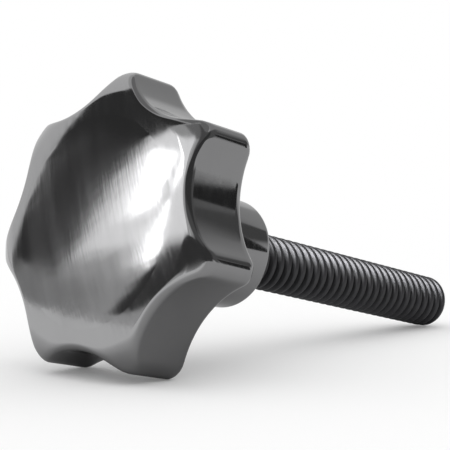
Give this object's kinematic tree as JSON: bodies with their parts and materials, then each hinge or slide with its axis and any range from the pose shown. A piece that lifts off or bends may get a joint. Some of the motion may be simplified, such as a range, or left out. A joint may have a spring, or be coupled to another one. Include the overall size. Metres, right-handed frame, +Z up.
{
  "type": "battery box knob",
  "caption": "Star-shaped clamping knob with a domed, lobed metal head, brushed on its face and polished at its sides, a round hub behind it and a long blackened threaded stud.",
  "frame": {"origin": "on the stud's axis, at the middle of the hub's end face, where the stud comes out", "axes": "+Z up as the knob lies on a table on two lobes and the stud's tip; +X along the stud towards its tip, seen from above, while the stud itself slopes down from it by 12.7 degrees; +Y across"},
  "size_m": [0.0605, 0.0312, 0.0309],
  "materials": {
    "head_metal": "polished",
    "stud_steel": "satin"
  },
  "bodies": {
    "root": {"star_head": "head_metal", "threaded_stud": "stud_steel"}
  },
  "joints": []
}
